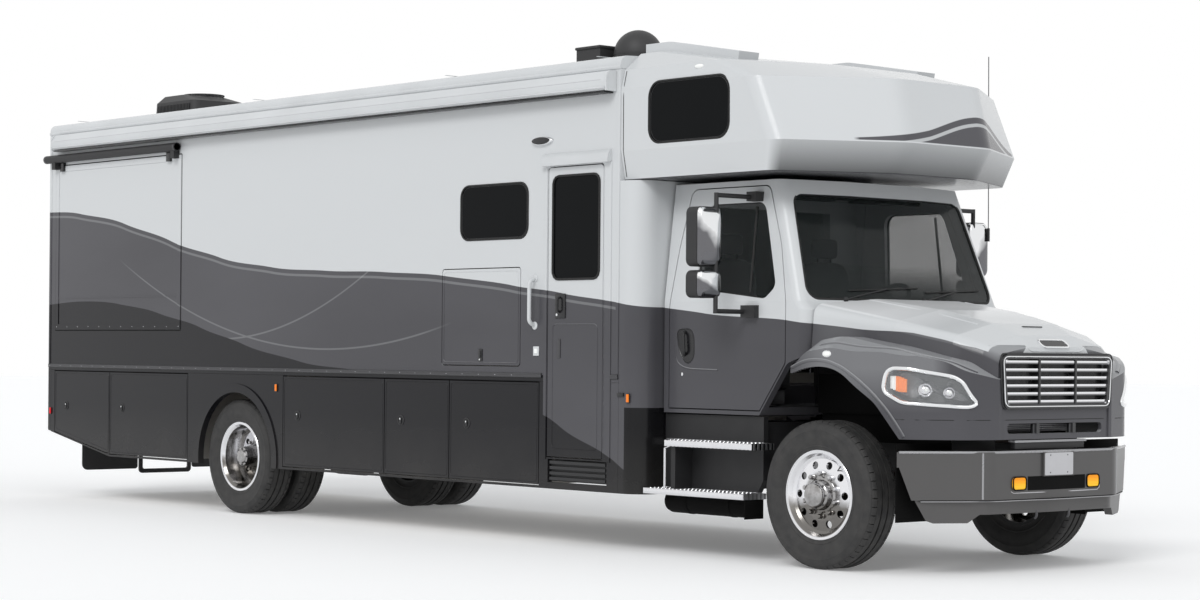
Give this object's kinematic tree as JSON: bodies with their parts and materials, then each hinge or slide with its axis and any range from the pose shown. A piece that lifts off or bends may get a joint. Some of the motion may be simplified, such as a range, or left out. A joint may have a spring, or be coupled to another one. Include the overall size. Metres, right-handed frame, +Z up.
{
  "type": "motorhome",
  "caption": "Motorhome with an over-cab bunk on a bonneted truck chassis, with slide-out rooms, hinged doors and bays, tilting hood and steered wheels.",
  "frame": {"origin": "on the ground, midway along the overall length, on the centre line", "axes": "+X forward, +Y to the vehicle's left, +Z up"},
  "size_m": [11.2, 3.044, 3.977],
  "materials": {
    "shell_white": "gloss paint",
    "paint_grey": "gloss paint",
    "paint_charcoal": "gloss paint",
    "bumper_grey": "metallic paint",
    "frame_black": "satin black",
    "black_plastic": "grained",
    "polished_alloy": "polished",
    "chrome": "polished",
    "tyre": "matte",
    "dark_glass": "tinted",
    "clear_glass": "clear",
    "lamp_lens": "clear",
    "amber_lens": "moulded",
    "seat_cloth": "woven",
    "cast_iron": "rough",
    "inner_panel": "matt"
  },
  "bodies": {
    "coach": {"frame_rails": "frame_black", "front_axle": "cast_iron", "rear_axle": "cast_iron", "driveline": "cast_iron", "hitch": "frame_black", "side_tanks": "black_plastic", "cab_steps": "polished_alloy", "front_bumper": "bumper_grey", "lamps": "amber_lens", "cab_shell": "paint_grey", "windscreen": "clear_glass", "dashboard": "black_plastic", "steering_wheel": "black_plastic", "cab_seats": "seat_cloth", "house_floor": "inner_panel", "right_wall": "shell_white", "left_wall": "shell_white", "rear_wall": "paint_charcoal", "roof": "shell_white", "front_wall": "shell_white", "front_cap": "shell_white", "house_windows": "dark_glass", "skirt_right": "paint_charcoal", "skirt_left": "paint_charcoal", "bay_liners": "inner_panel", "awning_case": "shell_white", "roof_units": "black_plastic"},
    "hood": {"hood": "shell_white", "grille": "chrome", "headlamps": "lamp_lens"},
    "door_right": {"door_shell_right": "paint_grey", "door_glass_right": "clear_glass", "mirror_right": "chrome"},
    "door_left": {"door_shell_left": "paint_grey", "door_glass_left": "clear_glass", "mirror_left": "chrome"},
    "entry_door": {"entry_door": "shell_white", "entry_glass": "dark_glass"},
    "outdoor_hatch": {"outdoor_hatch": "shell_white"},
    "slide_right": {"slide_right": "shell_white", "slide_topper": "black_plastic"},
    "slide_left": {"slide_left": "shell_white"},
    "entry_step": {"entry_step": "frame_black"},
    "knuckle_right": {"knuckle_right": "cast_iron"},
    "knuckle_left": {"knuckle_left": "cast_iron"},
    "wheel_front_right": {"tyre_front_right": "tyre", "rim_front_right": "polished_alloy"},
    "wheel_front_left": {"tyre_front_left": "tyre", "rim_front_left": "polished_alloy"},
    "wheels_rear_right": {"tyres_rear_right": "tyre", "rims_rear_right": "polished_alloy"},
    "wheels_rear_left": {"tyres_rear_left": "tyre", "rims_rear_left": "polished_alloy"},
    "bay_door_right_1": {"bay_door_right_1": "paint_charcoal"},
    "bay_door_right_2": {"bay_door_right_2": "paint_charcoal"},
    "bay_door_right_3": {"bay_door_right_3": "paint_charcoal"},
    "bay_door_right_4": {"bay_door_right_4": "paint_charcoal"},
    "bay_door_right_5": {"bay_door_right_5": "paint_charcoal"},
    "bay_door_left_1": {"bay_door_left_1": "paint_charcoal"},
    "bay_door_left_2": {"bay_door_left_2": "paint_charcoal"}
  },
  "joints": [
    {"name": "hood_tilt", "type": "hinge", "parent": "coach", "child": "hood", "pos_m": [5.585, 0, 0.87], "axis": [0, 1, 0], "range_deg": [0, 65]},
    {"name": "door_right_swing", "type": "hinge", "parent": "coach", "child": "door_right", "pos_m": [4.083, -1.046, 1.6], "axis": [0, 0, 1], "range_deg": [0, 70]},
    {"name": "door_left_swing", "type": "hinge", "parent": "coach", "child": "door_left", "pos_m": [4.083, 1.046, 1.6], "axis": [0, 0, -1], "range_deg": [0, 70]},
    {"name": "entry_door_swing", "type": "hinge", "parent": "coach", "child": "entry_door", "pos_m": [2.463, -1.275, 1.7], "axis": [0, 0, 1], "range_deg": [0, 100]},
    {"name": "outdoor_hatch_lift", "type": "hinge", "parent": "coach", "child": "outdoor_hatch", "pos_m": [1.05, -1.275, 2.069], "axis": [-1, 0, 0], "range_deg": [0, 90]},
    {"name": "slide_right_out", "type": "slide", "parent": "coach", "child": "slide_right", "axis": [0, -1, 0], "range_m": [0, 0.6]},
    {"name": "slide_left_out", "type": "slide", "parent": "coach", "child": "slide_left", "axis": [0, 1, 0], "range_m": [0, 0.6]},
    {"name": "entry_step_out", "type": "slide", "parent": "coach", "child": "entry_step", "axis": [0, -1, 0], "range_m": [0, 0.28]},
    {"name": "steer_right", "type": "hinge", "parent": "coach", "child": "knuckle_right", "pos_m": [4.5, -0.85, 0.498], "axis": [0, 0, 1], "range_deg": [-38, 38]},
    {"name": "steer_left", "type": "hinge", "parent": "coach", "child": "knuckle_left", "pos_m": [4.5, 0.85, 0.498], "axis": [0, 0, 1], "range_deg": [-38, 38]},
    {"name": "wheel_front_right_spin", "type": "hinge", "parent": "knuckle_right", "child": "wheel_front_right", "pos_m": [4.5, -1.03, 0.498], "axis": [0, 1, 0], "continuous": true},
    {"name": "wheel_front_left_spin", "type": "hinge", "parent": "knuckle_left", "child": "wheel_front_left", "pos_m": [4.5, 1.03, 0.498], "axis": [0, 1, 0], "continuous": true},
    {"name": "wheels_rear_right_spin", "type": "hinge", "parent": "coach", "child": "wheels_rear_right", "pos_m": [-2.36, -1, 0.498], "axis": [0, 1, 0], "continuous": true},
    {"name": "wheels_rear_left_spin", "type": "hinge", "parent": "coach", "child": "wheels_rear_left", "pos_m": [-2.36, 1, 0.498], "axis": [0, 1, 0], "continuous": true},
    {"name": "bay_right_1_swing", "type": "hinge", "parent": "coach", "child": "bay_door_right_1", "pos_m": [-4.452, -1.275, 0.8], "axis": [0, 0, 1], "range_deg": [0, 90]},
    {"name": "bay_right_2_swing", "type": "hinge", "parent": "coach", "child": "bay_door_right_2", "pos_m": [-3.102, -1.275, 0.8], "axis": [0, 0, 1], "range_deg": [0, 90]},
    {"name": "bay_right_3_swing", "type": "hinge", "parent": "coach", "child": "bay_door_right_3", "pos_m": [-0.173, -1.275, 0.8], "axis": [0, 0, 1], "range_deg": [0, 90]},
    {"name": "bay_right_4_swing", "type": "hinge", "parent": "coach", "child": "bay_door_right_4", "pos_m": [0.67, -1.275, 0.8], "axis": [0, 0, 1], "range_deg": [0, 90]},
    {"name": "bay_right_5_swing", "type": "hinge", "parent": "coach", "child": "bay_door_right_5", "pos_m": [1.753, -1.275, 0.8], "axis": [0, 0, 1], "range_deg": [0, 90]},
    {"name": "bay_left_1_swing", "type": "hinge", "parent": "coach", "child": "bay_door_left_1", "pos_m": [-3.102, 1.275, 0.8], "axis": [0, 0, -1], "range_deg": [0, 90]},
    {"name": "bay_left_2_swing", "type": "hinge", "parent": "coach", "child": "bay_door_left_2", "pos_m": [0.503, 1.275, 0.8], "axis": [0, 0, -1], "range_deg": [0, 90]}
  ],
  "couplings": [
    {"joint": "steer_left", "follows": "steer_right", "ratio": 1}
  ]
}
